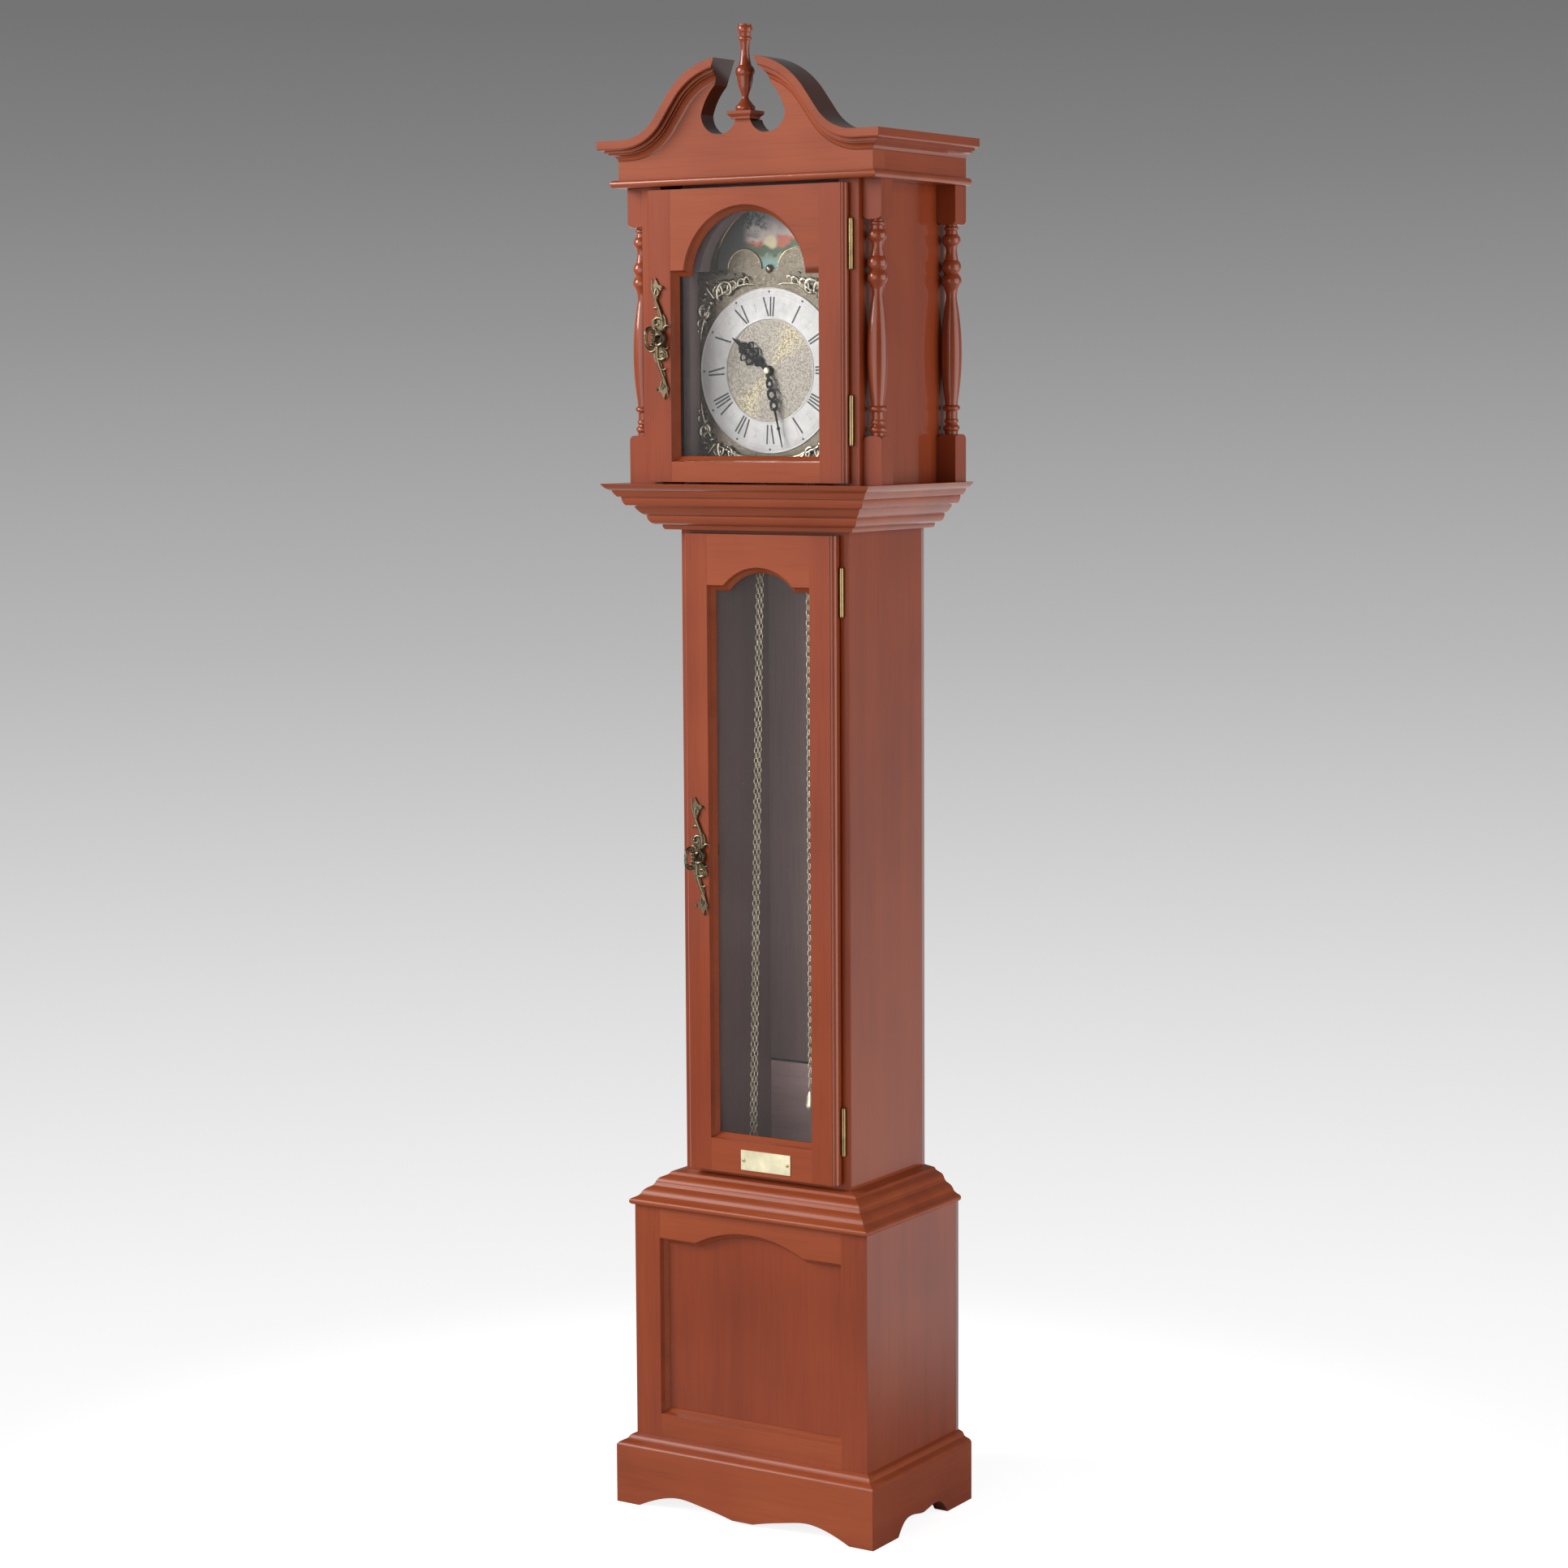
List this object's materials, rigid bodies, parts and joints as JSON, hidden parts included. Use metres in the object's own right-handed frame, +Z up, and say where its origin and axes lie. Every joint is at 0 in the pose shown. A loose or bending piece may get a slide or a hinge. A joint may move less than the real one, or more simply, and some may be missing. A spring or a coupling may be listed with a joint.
{
  "type": "grandmother clock",
  "caption": "Tall floor clock: scrolled hood with turned columns, glazed hinged hood and trunk doors, moon dial, chain-driven movement, panelled base on a shaped plinth.",
  "frame": {"origin": "on the floor under the middle of the bounding box", "axes": "+Z up, the dial and doors face -Y, the door hinges are on +X"},
  "size_m": [0.4, 0.254, 1.8293],
  "materials": {
    "wood_case": "satin lacquered red-brown mahogany",
    "wood_inner": "dark stained secondary timber",
    "glass": "clear polished",
    "antique_brass": "aged cast brass",
    "brass": "polished brass",
    "silvered": "satin silvered dial metal",
    "blackened_steel": "blackened steel",
    "moon_paint": "painted moon disc in blue and pale tones"
  },
  "bodies": {
    "case": {"base_back": "wood_inner", "base_cap_moulding": "wood_case", "base_floor": "wood_inner", "base_front_frame": "wood_case", "base_panel": "wood_case", "base_sides": "wood_case", "base_top": "wood_inner", "chain_ends": "brass", "chains": "brass", "chapter_ring": "silvered", "dial_centre": "silvered", "dial_mask": "wood_inner", "dial_plate": "brass", "finial": "wood_case", "finial_block": "wood_case", "frieze_bead": "wood_case", "frieze_boards": "wood_case", "hinge_case_leaves": "antique_brass", "hood_back": "wood_inner", "hood_floor": "wood_case", "hood_sides": "wood_case", "hood_stiles": "wood_case", "hood_top": "wood_case", "movement_pillars": "brass", "movement_plates": "brass", "pediment_board": "wood_case", "plinth_front": "wood_case", "plinth_moulding": "wood_case", "plinth_sides": "wood_case", "seat_board": "wood_inner", "side_cornices": "wood_case", "spandrels": "brass", "swan_neck_left": "wood_case", "swan_neck_right": "wood_case", "trunk_back": "wood_inner", "trunk_foot_rail": "wood_case", "trunk_head_rail": "wood_case", "trunk_keeper": "wood_inner", "trunk_sides": "wood_case", "turned_columns": "wood_case", "waist_moulding": "wood_case"},
    "hood_door": {"hood_door_frame": "wood_case", "hood_door_glass": "glass", "hood_hinge_leaves": "antique_brass", "hood_pull_plate": "antique_brass"},
    "hood_pull": {"hood_pull": "antique_brass"},
    "trunk_door": {"trunk_door_frame": "wood_case", "trunk_door_glass": "glass", "trunk_hinge_leaves": "antique_brass", "trunk_pull_plate": "antique_brass", "name_plate": "brass"},
    "trunk_pull": {"trunk_pull": "antique_brass"},
    "minute_hand": {"minute_hand": "blackened_steel", "hand_nut": "brass"},
    "hour_hand": {"hour_hand": "blackened_steel"},
    "moon_disc": {"moon_disc": "moon_paint"},
    "chain_wheel_left": {"chain_wheel_left": "brass"},
    "chain_wheel_centre": {"chain_wheel_centre": "brass"},
    "chain_wheel_right": {"chain_wheel_right": "brass"}
  },
  "joints": [
    {"name": "hood_door_hinge", "type": "hinge", "parent": "case", "child": "hood_door", "pos_m": [0.145, -0.08415, 1.464], "axis": [0, 0, 1], "range_deg": [0, 90]},
    {"name": "hood_pull_turn", "type": "hinge", "parent": "hood_door", "child": "hood_pull", "pos_m": [-0.1205, -0.1, 1.46], "axis": [0, -1, 0], "range_deg": [0, 90]},
    {"name": "trunk_door_hinge", "type": "hinge", "parent": "case", "child": "trunk_door", "pos_m": [0.1118, -0.05375, 0.8255], "axis": [0, 0, 1], "range_deg": [0, 115]},
    {"name": "trunk_pull_turn", "type": "hinge", "parent": "trunk_door", "child": "trunk_pull", "pos_m": [-0.0866, -0.0735, 0.8245], "axis": [0, -1, 0], "range_deg": [0, 90]},
    {"name": "minute_hand_turn", "type": "hinge", "parent": "case", "child": "minute_hand", "pos_m": [0, -0.0427, 1.4205], "axis": [0, 1, 0], "continuous": true},
    {"name": "hour_hand_turn", "type": "hinge", "parent": "case", "child": "hour_hand", "pos_m": [0, -0.0402, 1.4205], "axis": [0, 1, 0], "continuous": true},
    {"name": "moon_disc_turn", "type": "hinge", "parent": "case", "child": "moon_disc", "pos_m": [0, -0.0321, 1.543], "axis": [0, 1, 0], "continuous": true},
    {"name": "chain_wheel_left_turn", "type": "hinge", "parent": "case", "child": "chain_wheel_left", "pos_m": [-0.0682, -0.001, 1.385], "axis": [0, 1, 0], "continuous": true},
    {"name": "chain_wheel_centre_turn", "type": "hinge", "parent": "case", "child": "chain_wheel_centre", "pos_m": [0, -0.001, 1.385], "axis": [0, 1, 0], "continuous": true},
    {"name": "chain_wheel_right_turn", "type": "hinge", "parent": "case", "child": "chain_wheel_right", "pos_m": [0.0682, -0.001, 1.385], "axis": [0, 1, 0], "continuous": true}
  ],
  "couplings": [
    {"joint": "hour_hand_turn", "follows": "minute_hand_turn", "ratio": 0.083333}
  ]
}
